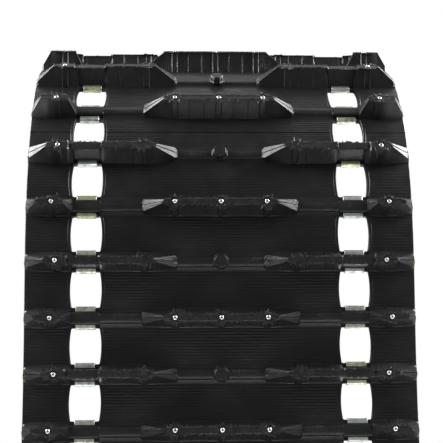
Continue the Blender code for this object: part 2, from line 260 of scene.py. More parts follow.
def frame_at(along):
    """Matrix whose X runs across the track, -Y along it and Z out of it, in metres."""
    y, z, angle = (float(v) for v in outline(along))
    return Matrix.Translation((0, y * MM, z * MM + TOP_Z)) @ Matrix.Rotation(angle, 4, "X")


# ---------------------------------------------------------------- stations across the track

STATION_GAP = 0.45
STATION_STEP = 3.2


def belt_stations():
    """x of every grid station from edge to edge, close together where the shape changes."""
    marks = {0, HALF_WIDTH - 0.8, HALF_WIDTH, WINDOW_LOW, WINDOW_X, WINDOW_HIGH, *WINDOW_MARKS}
    marks |= {WINDOW_LOW - reach for reach in BORDER_REACHES}
    marks |= {WINDOW_HIGH + reach for reach in BORDER_REACHES}
    for stud in CENTRE_FINGERS + LONG_FINGERS:
        reaches = (FINGER_CORE, FINGER_CORE + FINGER_FADE / 2, FINGER_CORE + FINGER_FADE)
        marks |= {abs(stud + side * reach) for side in (-1, 1) for reach in reaches} | {stud}
    for vent in CENTRE_VENTS + LONG_VENTS:
        marks |= {vent - VENT_HALF, vent - VENT_TOP_HALF, vent + VENT_TOP_HALF, vent + VENT_HALF}
    marks |= set(SLOPE_MARKS)
    for lug in LUG_X:
        marks |= {lug + side * reach for side in (-1, 1) for reach, _ in LUG_X_LEVELS}
    kept = []
    for mark in sorted(marks):
        if not kept or mark - kept[-1] > STATION_GAP:
            kept.append(float(mark))
    filled = [kept[0]]
    for mark in kept[1:]:
        steps = max(1, math.ceil((mark - filled[-1]) / STATION_STEP - 0.05))
        inside_window = WINDOW_LOW <= filled[-1] and mark <= WINDOW_HIGH
        steps = max(steps, 3) if inside_window else steps
        start = filled[-1]
        filled += [start + (mark - start) * n / steps for n in range(1, steps + 1)]
    right = np.array(filled)
    return np.concatenate([-right[:0:-1], right])


STATIONS = belt_stations()


def station_at(x):
    return int(np.argmin(np.abs(STATIONS - x)))


def window_edge_stations():
    """(first, last) station of the left and of the right window."""
    right = (station_at(WINDOW_LOW), station_at(WINDOW_HIGH))
    left = (station_at(-WINDOW_HIGH), station_at(-WINDOW_LOW))
    return left, right


WINDOW_EDGES = window_edge_stations()
COLUMN = (np.abs(STATIONS) > WINDOW_LOW - 0.1) & (np.abs(STATIONS) < WINDOW_HIGH + 0.1)


def station_x(offsets):
    """x of every station at every line: the stations beside a window follow its bowed sides."""
    reach = np.clip((np.abs(offsets) - BAR_HALF) / (WINDOW_LENGTH / 2), 0, 1)
    half = WINDOW_HALF_CORNER + (WINDOW_HALF_MIDDLE - WINDOW_HALF_CORNER) * (1 - (1 - reach) ** 2)
    depth = np.clip(WINDOW_CORNER_RADIUS - (np.abs(offsets) - BAR_HALF), 0, WINDOW_CORNER_RADIUS)
    corner = WINDOW_CORNER_RADIUS - np.sqrt(WINDOW_CORNER_RADIUS ** 2 - depth ** 2)
    half = np.where(np.abs(offsets) >= BAR_HALF - HAIR, half - corner, WINDOW_HALF_CORNER)
    x = np.repeat(STATIONS[:, None], offsets.shape[-1], axis=1)
    for side, (first, last) in zip((-1, 1), WINDOW_EDGES):
        middle = side * WINDOW_X
        x[first] = middle - half
        x[last] = middle + half
        for n, reach in enumerate(BORDER_REACHES, 1):
            x[first - n] = middle - half - reach
            x[last + n] = middle + half + reach
    return x


# ---------------------------------------------------------------- outer face of one row

def smooth(t):
    t = np.clip(t, 0, 1)
    return t * t * (3 - 2 * t)


def distance(x, places):
    """Distance from x, on either side of the middle, to the nearest of the places."""
    return np.min([np.abs(np.abs(x) - place) for place in places], axis=0)


def finger_distance(x, kind):
    return distance(x, CENTRE_FINGERS if kind == "centre" else LONG_FINGERS)


def finger_share(x, kind):
    """1 at the thickened fingers that hold the studs, 0 on the plain blade."""
    return smooth(1 - (finger_distance(x, kind) - FINGER_CORE) / FINGER_FADE)


def cut_level(x, kind):
    """How much of the cleat's height stands at x, from 0 to 1."""
    places, levels = CENTRE_CUT if kind == "centre" else LONG_CUT
    return np.interp(np.abs(x), places, levels)


def foot_bulge(x, kind):
    """Extra half width of a cleat's foot around its fingers."""
    return FOOT_BULGE * smooth(1 - finger_distance(x, kind) / FOOT_BULGE_REACH)


def vent_share(x, kind):
    """1 on the thin upright ridges that the mould's vents leave between the fingers."""
    nearest = distance(x, CENTRE_VENTS if kind == "centre" else LONG_VENTS)
    return np.clip((VENT_HALF - nearest) / (VENT_HALF - VENT_TOP_HALF), 0, 1)


def tip_half(x, kind):
    """Half the width of the blade's tip, which narrows towards its sloping ends."""
    reach = distance(x, CENTRE_CORNERS if kind == "centre" else LONG_CORNERS)
    tapered = FACET_TOP_HALF + (TIP_HALF - FACET_TOP_HALF) * np.clip(reach / TIP_TAPER, 0, 1)
    column = (np.abs(x) > WINDOW_LOW) & (np.abs(x) < WINDOW_HIGH)
    return np.where(column, TIP_HALF_AT_CLIP, tapered)


def rib_profile(column):
    """Offsets and heights above the belt of the plain rib with the pad along its foot."""
    offset = np.where(column, RIB_OFFSETS_AT_CLIP, RIB_OFFSETS)
    half = np.where(column, RIB_HALF_AT_CLIP, RIB_HALF)
    power = np.where(column, RIB_POWER_AT_CLIP, RIB_POWER)
    dome = RIB_HEIGHT * np.clip(1 - (offset / half) ** power, 0, 1) ** (1 / power)
    pad_share = np.clip((PAD_HALF - offset) / (PAD_HALF - RIB_HALF + PAD_OVERLAP), 0, 1)
    pad = PAD_HEIGHT * pad_share ** PAD_POWER
    return offset, np.maximum(dome, np.where(column, 0.0, pad))


def cleat_profile(kind, cut, column):
    """Offsets and heights above the belt of a cleat: its tip or sloping end, flank and foot."""
    x = STATIONS
    level = np.array(FLANK_LEVELS)[None, :]
    standing = cut > 0.999
    slope_half = FACET_TOP_HALF + (FACET_FOOT_HALF - FACET_TOP_HALF) * (1 - cut)
    across = np.where(standing | column, tip_half(x, kind)[:, None], slope_half)
    wide = FOOT_NARROW + (FOOT_HALF - FOOT_NARROW) * np.sqrt(cut) + foot_bulge(x, kind)[:, None]
    foot = np.where(column, FOOT_HALF_AT_CLIP, wide)
    swelling = FINGER_TOP_SHARE + (1 - FINGER_TOP_SHARE) * np.sqrt(level)
    finger = finger_share(x, kind)[:, None] * FINGER_EXTRA * swelling
    vent = vent_share(x, kind)[:, None] * VENT_EXTRA * (level < 1)
    flank = across + (foot - across) * (1 - level) ** FLANK_POWER + cut * (finger + vent)
    low = np.where(column, FLANK_LOW_AT_CLIP, FLANK_LOW)
    top = RIB_HEIGHT + cut * CLEAT_RISE
    flank_height = low + (top - low) * level
    flank_height[:, :1] -= np.where(column, TIP_EASE_AT_CLIP, TIP_EASE)

    half = flank[:, :1]
    sunk = np.where(standing, TIP_RIM, FACET_GROOVE) * ~column
    rim = np.hstack([0 * half, *(half - inset for inset in RIM_INSETS)])
    groove = np.hstack([0 * half, *(0 * half + offset for offset in GROOVE_OFFSETS)])
    inner = np.where(column, half * np.array([[0, 0.4, 0.75]]), np.where(standing, rim, groove))
    inner_height = top - sunk * np.array([[1.0, 1.0, 0.0]])
    sloping = foot + (PAD_HALF - foot) * np.array([SHOULDER_SHARES])
    shoulder = np.where(column, SHOULDER_HALVES_AT_CLIP, sloping)
    shoulder_height = np.where(column, SHOULDER_HEIGHTS_AT_CLIP, SHOULDER_HEIGHTS)
    return np.hstack([inner, flank, shoulder]), np.hstack([inner_height, flank_height, shoulder_height])


def half_bar(kind):
    """Offsets from the row's centre line to the bar's edge, and heights, at every station."""
    cut = cut_level(STATIONS, kind)[:, None]
    column = COLUMN[:, None]
    rib_offset, rib_height = rib_profile(column)
    cleat_offset, cleat_height = cleat_profile(kind, cut, column)
    share = smooth(cut / SLOPE_END)
    offset = rib_offset + (cleat_offset - rib_offset) * share
    height = OUTER + rib_height + (cleat_height - rib_height) * share
    chamfer = BAR_HALF - np.where(column, BAR_CHAMFER[0], BAR_EASE)
    edge = np.full_like(cut, BAR_HALF)
    flat = np.full_like(cut, OUTER)
    edge_height = np.where(column, OUTER - BAR_CHAMFER[1], OUTER)
    return np.hstack([offset, chamfer, edge]), np.hstack([height, flat, edge_height])


def half_web(rng):
    """Offsets and heights of the web's lines beyond the bar's edge, with its fine uneven ridges."""
    places = [WEB_START]
    for ridge in range(RIDGE_COUNT):
        middle = RIDGE_PITCH * (ridge + 0.5)
        places += [middle + reach for reach in (-RIDGE_HALF, -RIDGE_TOP_HALF, RIDGE_TOP_HALF, RIDGE_HALF)]
    places.append(WINDOW_LENGTH / 2)
    count = len(STATIONS)
    knots = np.linspace(-HALF_WIDTH, HALF_WIDTH, RIDGE_KNOTS)
    height = np.full((count, len(places)), OUTER)
    for ridge in range(RIDGE_COUNT):
        strength = np.interp(STATIONS, knots, rng.uniform(0.25, 1.0, len(knots)))
        columns = slice(1 + 4 * ridge, 5 + 4 * ridge)
        height[:, columns] += RIDGE_HEIGHT * strength[:, None] * np.array([0.0, 1.0, 1.0, 0.0])
    offset = np.repeat(BAR_HALF + np.array(places)[None, :], count, axis=0)
    return offset, height


BAR_LINES = 15
WEB_LINES = 2 + 4 * RIDGE_COUNT
HALF_LINES = BAR_LINES + WEB_LINES
ROW_LINES = 2 * HALF_LINES - 1
BAR_EDGE_LINE = BAR_LINES - 1
LUMPY_LINES = 4
# lines of a half row that the inner face shares with the outer one, and their offsets on the bar
INNER_HALF_LINES = (0, 3, 7, 12, 14, 15, 16, 18, 20, 24, 28, 32, 36, 40)
INNER_BAR_OFFSETS = {0: 0.0, 3: 5.5, 7: 9.2, 12: 13.0, 14: BAR_HALF}


def row_grid(kind, rng):
    """Flat (x, s, h) of one row's outer grid, with s measured from the row's centre."""
    bar_offset, bar_height = half_bar(kind)
    halves = []
    for _ in range(2):
        web_offset, web_height = half_web(rng)
        halves.append((np.hstack([bar_offset, web_offset]), np.hstack([bar_height, web_height])))
    (before_s, before_h), (after_s, after_h) = halves
    s = np.hstack([-before_s[:, :0:-1], after_s])
    h = np.hstack([before_h[:, :0:-1], after_h])
    nominal = s[station_at(0)]
    x = station_x(nominal)
    middle = HALF_LINES - 1
    standing = cut_level(STATIONS, kind) > 0.97
    lumps = rng.uniform(-1, 1, (len(STATIONS), 2 * LUMPY_LINES + 1))
    lumps *= (0.5 + finger_share(STATIONS, kind))[:, None]
    h[:, middle - LUMPY_LINES:middle + LUMPY_LINES + 1] += TIP_ROUGHNESS * lumps * standing[:, None]
    bare = np.abs(nominal) >= BAR_HALF - HAIR
    for first, last in WINDOW_EDGES:
        for edge, away in ((first, -1), (last, 1)):
            h[edge, bare] = OUTER - BORDER_EASE
            h[edge + away, bare] = OUTER + BORDER_HEIGHT
            h[edge + 2 * away, bare] = OUTER + BORDER_HEIGHT
            h[edge + 3 * away, bare] = OUTER
    for station in (0, len(STATIONS) - 1):
        h[station] = OUTER - EDGE_EASE + END_SHARE * (h[station] - OUTER)
    return np.stack([x, s, h], axis=-1)


def inner_lines():
    """(line numbers, offsets) of a whole row's inner face."""
    web_offset = half_web(np.random.default_rng(0))[0][0]
    offsets = [
        web_offset[line - BAR_LINES] if line >= BAR_LINES else INNER_BAR_OFFSETS[line]
        for line in INNER_HALF_LINES
    ]
    middle = HALF_LINES - 1
    lines = [middle - n for n in INNER_HALF_LINES[:0:-1]] + [middle + n for n in INNER_HALF_LINES]
    return lines, np.array([-o for o in offsets[:0:-1]] + offsets)


def inner_stations():
    """Numbers of the stations that the inner face shares with the outer one."""
    marks = [*INNER_MARKS, WINDOW_LOW, *WINDOW_MARKS, WINDOW_HIGH, HALF_WIDTH]
    for lug in LUG_X:
        marks += [lug + side * reach for side in (-1, 1) for reach, _ in LUG_X_LEVELS]
    return sorted({station_at(side * mark) for side in (-1, 1) for mark in marks})


INNER_LINES, INNER_OFFSETS = inner_lines()
INNER_STATIONS = inner_stations()


def lug_height():
    """Depth of the drive lugs at every inner station and line."""
    x = np.abs(STATIONS[INNER_STATIONS])
    reach_x = np.min([np.abs(x - lug) for lug in LUG_X], axis=0)
    share_x = np.interp(reach_x, *zip(*LUG_X_LEVELS[::-1]))
    share_s = np.interp(np.abs(INNER_OFFSETS), *zip(*LUG_S_LEVELS[::-1]))
    return LUG_HEIGHT * np.minimum(share_x[:, None], share_s[None, :])


def inner_row_grid():
    """Flat (x, s, h) of one row's inner face, coarser than the outer one."""
    x = station_x(INNER_OFFSETS)[INNER_STATIONS]
    s = np.repeat(INNER_OFFSETS[None, :], len(INNER_STATIONS), axis=0)
    return np.stack([x, s, INNER - lug_height()], axis=-1)


# ---------------------------------------------------------------- closed belt mesh

class Shell:
    """Collects flat points and faces of one piece."""

    def __init__(self):
        self.points = []
        self.faces = []
        self.count = 0

    def add_points(self, points):
        points = np.asarray(points, float).reshape(-1, 3)
        first = self.count
        self.points.append(points)
        self.count += len(points)
        return np.arange(first, self.count)

    def add_grid(self, ids, kept):
        """Quads between neighbouring stations and lines, where kept says so."""
        corners = np.stack([ids[:-1, :-1], ids[1:, :-1], ids[1:, 1:], ids[:-1, 1:]], axis=-1)
        self.faces += corners[kept].tolist()

    def add_wall(self, outer, coarse, inner):
        """Faces between a fine outer chain and an inner one that meets it at the places in coarse."""
        for a, b, low, high in zip(coarse[:-1], coarse[1:], inner[:-1], inner[1:]):
            self.faces.append([int(low), int(high)] + [int(v) for v in outer[a:b + 1][::-1]])


def linked(mesh):
    """Object of the mesh's name, in the scene."""
    created = bpy.data.objects.new(mesh.name, mesh)
    bpy.context.scene.collection.objects.link(created)
    return created


def shell_object(name, shell, material):
    """Object whose flat points are bent along the loop; unused points are dropped."""
    points = np.concatenate(shell.points)
    used = np.zeros(len(points), bool)
    used[[v for face in shell.faces for v in face]] = True
    renumber = np.cumsum(used) - 1
    faces = [[int(renumber[v]) for v in face] for face in shell.faces]
    flat = points[used]
    mesh = bpy.data.meshes.new(name)
    mesh.from_pydata(bend(flat).tolist(), [], faces)
    finish_mesh(mesh, material, BELT_SMOOTH)
    keep_flat_places(mesh, flat)
    return linked(mesh)


def finish_mesh(mesh, material, smooth_degrees):
    """Outward faces, smooth shading between sharp edges, and the material."""
    bm = bmesh.new()
    bm.from_mesh(mesh)
    bmesh.ops.recalc_face_normals(bm, faces=bm.faces[:])
    bm.to_mesh(mesh)
    bm.free()
    mesh.polygons.foreach_set("use_smooth", [True] * len(mesh.polygons))
    mesh.set_sharp_from_angle(angle=math.radians(smooth_degrees))
    mesh.materials.append(material)


def keep_flat_places(mesh, flat):
    """Stores the flat places in metres, for patterns that follow the belt."""
    attribute = mesh.attributes.new("flat", "FLOAT_VECTOR", "POINT")
    attribute.data.foreach_set("vector", (flat * MM).astype(np.float32).ravel())


def kept_cells(kinds):
    """Which cells of the outer grid are rubber: all but those of the windows."""
    lines = len(kinds) * (ROW_LINES - 1)
    kept = np.ones((len(STATIONS) - 1, lines), bool)
    for first, last in WINDOW_EDGES:
        for start, end in window_spans(len(kinds)):
            kept[first:last, start:end] = False
    return kept


def window_spans(row_count):
    """(first, last) line of every window or half window of a piece."""
    spans = []
    for row in range(row_count):
        start = row * (ROW_LINES - 1)
        middle = start + HALF_LINES - 1
        spans.append((start, middle - BAR_EDGE_LINE))
        spans.append((middle + BAR_EDGE_LINE, start + ROW_LINES - 1))
    merged = [spans[0]]
    for span in spans[1:]:
        if span[0] == merged[-1][1]:
            merged[-1] = (merged[-1][0], span[1])
        else:
            merged.append(span)
    return merged


def join_rows(grids, first_row):
    """One grid from the grids of neighbouring rows, which share the line between them."""
    parts = []
    for n, grid in enumerate(grids):
        placed = grid.copy()
        placed[..., 1] += (first_row + n + 0.5) * PITCH
        parts.append(placed if n == 0 else placed[:, 1:])
    return np.concatenate(parts, axis=1)


def add_belt(shell, first_row, kinds, rng):
    """Closed belt of neighbouring rows: outer face, inner face, and walls at edges and windows."""
    outer = join_rows([row_grid(kind, rng) for kind in kinds], first_row)
    if first_row == MOULD_LINE_ROW:
        line = ROW_LINES - 1
        outer[1:-1, line, 2] -= MOULD_LINE_DEPTH
        outer[:, line - 1, 1] = outer[:, line, 1] - MOULD_LINE_HALF
        outer[:, line + 1, 1] = outer[:, line, 1] + MOULD_LINE_HALF
    inner = join_rows([inner_row_grid() for _ in kinds], first_row)
    outer_ids = shell.add_points(outer).reshape(outer.shape[:2])
    inner_ids = shell.add_points(inner).reshape(inner.shape[:2])
    kept = kept_cells(kinds)
    shell.add_grid(outer_ids, kept)

    lines = [
        row * (ROW_LINES - 1) + line
        for row in range(len(kinds)) for line in (INNER_LINES[1:] if row else INNER_LINES)
    ]
    inner_kept = kept[np.ix_(INNER_STATIONS[:-1], lines[:-1])]
    shell.add_grid(inner_ids, inner_kept)

    def wall_along(station, start, end):
        shared = [n for n, line in enumerate(lines) if start <= line <= end]
        coarse = [lines[n] - start for n in shared]
        row = INNER_STATIONS.index(station)
        shell.add_wall(outer_ids[station, start:end + 1], coarse, inner_ids[row, shared])

    def wall_across(line, first, last):
        shared = [n for n, station in enumerate(INNER_STATIONS) if first <= station <= last]
        coarse = [INNER_STATIONS[n] - first for n in shared]
        shell.add_wall(outer_ids[first:last + 1, line], coarse, inner_ids[shared, lines.index(line)])

    last_station = len(STATIONS) - 1
    last_line = lines[-1]
    for station in (0, last_station):
        wall_along(station, 0, last_line)
    for first, last in WINDOW_EDGES:
        for start, end in window_spans(len(kinds)):
            wall_along(first, start, end)
            wall_along(last, start, end)
            for line in (start, end):
                if 0 < line < last_line:
                    wall_across(line, first, last)
    (left_low, left_high), (right_low, right_high) = WINDOW_EDGES
    for line in (0, last_line):
        wall_across(line, 0, left_low)
        wall_across(line, left_high, right_low)
        wall_across(line, right_high, last_station)


# ---------------------------------------------------------------- bosses and moulding flash

BOSS_PROFILE = ((11.4, -1.0), (11.2, 0.9), (10.4, 1.7), (9.3, 7.3), (8.8, 8.1), (8.2, 8.5))
BOSS_SIDES = 8


def add_boss(shell, row):
    """Eight-sided boss in the middle of a long row, sunk in its rib."""
    base = OUTER + RIB_HEIGHT
    rings = []
    for radius, height in BOSS_PROFILE:
        angles = (np.arange(BOSS_SIDES) + 0.5) * 2 * np.pi / BOSS_SIDES
        ring = np.stack([
            radius * np.cos(angles), (row + 0.5) * PITCH + radius * np.sin(angles),
            np.full(BOSS_SIDES, base + height),
        ], axis=1)
        rings.append(shell.add_points(ring))
    for low, high in zip(rings[:-1], rings[1:]):
        for n in range(BOSS_SIDES):
            m = (n + 1) % BOSS_SIDES
            shell.faces.append([int(low[n]), int(low[m]), int(high[m]), int(high[n])])
    shell.faces.append([int(v) for v in rings[-1]])
    shell.faces.append([int(v) for v in rings[0][::-1]])


FLASH_STEP = 1.2
FLASH_END_COUNT = 4
FLASH_SHORTEST = 0.7
FLASH_RAGGED = 8.0
FLASH_WINDOW = 9
FLASH_INSET = -0.5


def tip_outline(kind, start, end):
    """Closed outline (x, offset) of a cleat's tip between two places, and its outward directions."""
    x = np.linspace(start, end, int((end - start) / FLASH_STEP))
    half = tip_half(x, kind) + FINGER_EXTRA * finger_share(x, kind)
    across = np.linspace(-1, 1, FLASH_END_COUNT + 2)[1:-1]
    places = np.concatenate([
        np.stack([x, half], 1),
        np.stack([np.full(FLASH_END_COUNT, end), -across * half[-1]], 1),
        np.stack([x[::-1], -half[::-1]], 1),
        np.stack([np.full(FLASH_END_COUNT, start), across * half[0]], 1),
    ])
    ahead = np.roll(places, -1, axis=0) - np.roll(places, 1, axis=0)
    ahead /= np.linalg.norm(ahead, axis=1)[:, None]
    return places, np.stack([-ahead[:, 1], ahead[:, 0]], 1)


def add_flash(shell, row, kind, start, end, rng):
    """Thin ragged fringe of moulding flash around a cleat's tip."""
    places, outward = tip_outline(kind, start, end)
    count = len(places)
    average = np.ones(FLASH_WINDOW) / FLASH_WINDOW
    raggedness = np.convolve(np.tile(rng.uniform(0, 1, count), 3), average, "same")[count:2 * count]
    length = FLASH_SHORTEST + FLASH_RAGGED * raggedness * rng.uniform(0, 1, count) ** 2
    length *= 0.6 + smooth(foot_bulge(places[:, 0], kind) / FOOT_BULGE)
    top = OUTER + RIB_HEIGHT + CLEAT_RISE * cut_level(places[:, 0], kind)
    s = (row + 0.5) * PITCH
    droop = rng.uniform(-0.5, 0.5, count)
    rings = []
    for reach, height in ((FLASH_INSET, -0.25), (FLASH_INSET, -1.0), (length, droop - 0.7)):
        spot = places + outward * np.reshape(reach, (-1, 1))
        rings.append(shell.add_points(np.stack([spot[:, 0], s + spot[:, 1], top + height], axis=1)))
    for a, b in ((0, 1), (1, 2), (2, 0)):
        for n in range(count):
            m = (n + 1) % count
            shell.faces.append([int(rings[a][n]), int(rings[a][m]), int(rings[b][m]), int(rings[b][n])])


def add_cleat_details(shell, row, kind, rng):
    if kind == "long":
        add_boss(shell, row)
    for start, end in CENTRE_BLADES if kind == "centre" else LONG_BLADES:
        add_flash(shell, row, kind, start, end, rng)


def belt_piece(name, first_row, kinds):
    rng = np.random.default_rng(100 + first_row)
    shell = Shell()
    add_belt(shell, first_row, kinds, rng)
    for n, kind in enumerate(kinds):
        add_cleat_details(shell, first_row + n, kind, rng)
    return shell_object(name, shell, RUBBER)


# ---------------------------------------------------------------- guide clips

def rounded_corner(centre, radius, start, steps):
    """Points of a quarter turn around a corner, clockwise from the start angle in degrees."""
    angles = np.radians(start - np.linspace(0, 90, steps + 1))
    return [(centre[0] + radius * math.cos(a), centre[1] + radius * math.sin(a)) for a in angles]


def clip_section():
    """Closed (offset, height) outline of a clip folded around a bar."""
    inner = BAR_HALF + CLIP_GAP
    top = OUTER + CLIP_GAP
    lip = inner - CLIP_FLANGE
    wide = inner + CLIP_SKIN - CLIP_OUTER_BEND
    high = top + CLIP_SKIN - CLIP_OUTER_BEND
    outside = [(lip, top + CLIP_SKIN - CLIP_EASE), (lip + CLIP_EASE, top + CLIP_SKIN)]
    outside += rounded_corner((wide, high), CLIP_OUTER_BEND, 90, 4)
    outside += rounded_corner((wide, -high), CLIP_OUTER_BEND, 0, 4)
    wide = inner - CLIP_INNER_BEND
    high = top - CLIP_INNER_BEND
    inside = [(lip, top + 0.2), (lip + 0.2, top)]
    inside += rounded_corner((wide, high), CLIP_INNER_BEND, 90, 2)
    inside += rounded_corner((wide, -high), CLIP_INNER_BEND, 0, 2)
    mirrored_outside = [(-y, h) for y, h in reversed(outside)]
    mirrored_inside = [(-y, h) for y, h in inside]
    return outside + mirrored_outside + mirrored_inside + inside[::-1]


CLIP_SECTION = np.array(clip_section())
CLIP_HALF = CLIP_WIDTH / 2
CLIP_STEPS = (-CLIP_HALF, CLIP_EASE - CLIP_HALF, -6.0, 0.0, 6.0, CLIP_HALF - CLIP_EASE, CLIP_HALF)


def clip_rings():
    """Clip as one ring (x, s, h) of its outline per step across the track, with its end edges eased."""
    rings = []
    for x in CLIP_STEPS:
        ring = CLIP_SECTION.copy()
        if abs(x) == CLIP_HALF:
            towards = np.roll(ring, -1, axis=0) - np.roll(ring, 1, axis=0)
            towards /= np.linalg.norm(towards, axis=1)[:, None]
            ring += np.stack([-towards[:, 1], towards[:, 0]], 1) * -0.25
        rings.append(np.column_stack([np.full(len(ring), x), ring]))
    return rings


def placed_at_row(points, row):
    """World places of points around a row's centre: x across, y against the loop, z outwards."""
    matrix = np.array(frame_at((row % ROWS + 0.5) * PITCH))
    local = np.column_stack([points * MM, np.ones(len(points))])
    return (local @ matrix.T)[:, :3].tolist()


def clips_piece(segment, rng):
    """The four clips of a segment's two rows in one object."""
    verts, faces, tones = [], [], []
    for row in (2 * segment - 1, 2 * segment):
        for side in (-1, 1):
            first = len(verts)
            skew = rng.uniform(-CLIP_SKEW, CLIP_SKEW)
            shift = rng.uniform(-CLIP_SHIFT, CLIP_SHIFT)
            tone = rng.uniform(0, 1)
            rings = clip_rings()
            x, s, h = np.concatenate(rings).T
            points = np.column_stack([x + side * WINDOW_X + shift, -s - x * skew, h])
            verts += placed_at_row(points, row)
            tones += [tone] * len(points)
            width = len(rings[0])
            for n in range(len(rings) - 1):
                for k in range(width):
                    a = first + n * width + k
                    b = first + n * width + (k + 1) % width
                    faces.append([a, b, b + width, a + width])
            faces.append(list(range(first, first + width)))
            end = first + (len(rings) - 1) * width
            faces.append(list(range(end + width - 1, end - 1, -1)))
    mesh = bpy.data.meshes.new(f"clips_segment_{segment:02d}")
    mesh.from_pydata(verts, [], faces)
    finish_mesh(mesh, PLATED, CLIP_SMOOTH)
    attribute = mesh.attributes.new("tone", "FLOAT", "POINT")
    attribute.data.foreach_set("value", np.array(tones, np.float32))
    return linked(mesh)


# ---------------------------------------------------------------- studs and rods

STUD_PROFILE = (
    (0.0, 0.9), (0.75, 0.85), (1.0, 0.6), (1.05, -0.2), (1.35, -0.2), (1.5, 0.45), (2.2, 0.5), (2.6, 0.2),
    (2.6, -6.0), (2.1, -9.5), (0.0, -9.5),
)
STUD_SIDES = 20
STUD_LEAN = 0.05
STUD_DEPTHS = (0.1, 0.5)
CORE_RINGS = 3


def turned_rings(profile, sides):
    """Vertices and faces of a profile turned about Z; its first and last point lie on the axis."""
    verts = [(0.0, 0.0, profile[0][1])]
    for radius, height in profile[1:-1]:
        for n in range(sides):
            angle = 2 * math.pi * n / sides
            verts.append((radius * math.cos(angle), radius * math.sin(angle), height))
    verts.append((0.0, 0.0, profile[-1][1]))
    faces = []
    rings = len(profile) - 2
    for n in range(sides):
        m = (n + 1) % sides
        faces.append((0, 1 + n, 1 + m))
    for ring in range(rings - 1):
        start = 1 + ring * sides
        for n in range(sides):
            m = (n + 1) % sides
            faces.append((start + n, start + sides + n, start + sides + m, start + m))
    last = 1 + (rings - 1) * sides
    for n in range(sides):
        m = (n + 1) % sides
        faces.append((last + n, len(verts) - 1, last + m))
    return np.array(verts), faces


def studs_piece(segment, rng):
    """The seven studs of a segment in one object."""
    shape, shape_faces = turned_rings(STUD_PROFILE, STUD_SIDES)
    core_faces = STUD_SIDES * CORE_RINGS
    verts, faces, slots = [], [], []
    rows = ((2 * segment, CENTRE_STUDS), (2 * segment - 1, LONG_STUDS))
    for row, places in rows:
        for x in places:
            lean = Matrix.Rotation(rng.uniform(-STUD_LEAN, STUD_LEAN), 3, "X")
            lean @= Matrix.Rotation(rng.uniform(-STUD_LEAN, STUD_LEAN), 3, "Y")
            depth = rng.uniform(*STUD_DEPTHS)
            points = shape @ np.array(lean).T + np.array([x, 0, CLEAT_TIP - depth])
            first = len(verts)
            verts += placed_at_row(points, row)
            faces += [[first + v for v in face] for face in shape_faces]
            slots += [1] * core_faces + [0] * (len(shape_faces) - core_faces)
    mesh = bpy.data.meshes.new(f"studs_segment_{segment:02d}")
    mesh.from_pydata(verts, [], faces)
    finish_mesh(mesh, STUD_STEEL, TURNED_SMOOTH)
    # Second slot: the carbide core, darkened with painted shade for the stud's recess.
    mesh.materials.append(CARBIDE_AND_SHADE)
    mesh.polygons.foreach_set("material_index", slots)
    return linked(mesh)


def rods_piece(segment):
    """The two stiffener rods of a segment; only their sawn ends show at the belt's edges."""
    sawn = ROD_RADIUS - ROD_CHAMFER
    eased = ROD_HALF - ROD_CHAMFER
    profile = (
        (0.0, -ROD_HALF), (sawn, -ROD_HALF), (ROD_RADIUS, -eased),
        (ROD_RADIUS, eased), (sawn, ROD_HALF), (0.0, ROD_HALF),
    )
    shape, shape_faces = turned_rings(profile, ROD_SIDES)
    points = shape[:, [2, 1, 0]] + np.array([0, 0, ROD_HEIGHT])
    verts, faces = [], []
    for row in (2 * segment - 1, 2 * segment):
        first = len(verts)
        verts += placed_at_row(points, row)
        faces += [[first + v for v in face] for face in shape_faces]
    mesh = bpy.data.meshes.new(f"rods_segment_{segment:02d}")
    mesh.from_pydata(verts, [], faces)
    finish_mesh(mesh, FIBREGLASS, TURNED_SMOOTH)
    return linked(mesh)


# ---------------------------------------------------------------- materials

class Nodes:
    """Short way to build a node tree."""

    def __init__(self, name):
        self.material = bpy.data.materials.new(name)
        self.material.use_nodes = True
        self.tree = self.material.node_tree
        self.shader = self.tree.nodes["Principled BSDF"]
        self.output = self.tree.nodes["Material Output"]

    def new(self, kind, settings=None, **inputs):
        node = self.tree.nodes.new(kind)
        for key, value in (settings or {}).items():
            setattr(node, key, value)
        for key, value in inputs.items():
            self.set(node, key, value)
        return node

    def set(self, node, key, value):
        numbered = key[0] == "i" and key[1:].isdigit()
        socket = node.inputs[int(key[1:]) if numbered else key]
        if isinstance(value, bpy.types.NodeSocket):
            self.tree.links.new(value, socket)
        else:
            socket.default_value = value

    def math(self, operation, a, b=0.0, clamp=False):
        node = self.new("ShaderNodeMath", {"operation": operation, "use_clamp": clamp}, i0=a, i1=b)
        return node.outputs[0]

    def remap(self, value, low, high, to_low=0.0, to_high=1.0):
        """Clamped linear change of a value from one range to another."""
        node = self.new("ShaderNodeMapRange", {}, i0=value, i1=low, i2=high, i3=to_low, i4=to_high)
        return node.outputs[0]

    def noise(self, vector, scale, detail=4.0, roughness=0.55):
        settings = {"Vector": vector, "Scale": scale, "Detail": detail, "Roughness": roughness}
        return self.new("ShaderNodeTexNoise", {}, **settings).outputs["Fac"]

    def stretched(self, vector, scale):
        node = self.new("ShaderNodeMapping", {}, Vector=vector, Scale=scale)
        return node.outputs[0]

    def blend(self, factor, a, b):
        node = self.new("ShaderNodeMix", {"data_type": "RGBA"})
        self.set(node, "i0", factor)
        self.set(node, "i6", a)
        self.set(node, "i7", b)
        return node.outputs[2]

    def bump(self, height, strength, distance, normal=None):
        node = self.new("ShaderNodeBump", {}, Strength=strength, Distance=distance, Height=height)
        if normal is not None:
            self.set(node, "Normal", normal)
        return node.outputs[0]

    def attribute(self, name):
        return self.new("ShaderNodeAttribute", {"attribute_name": name})


TICK_PITCH = 0.0031


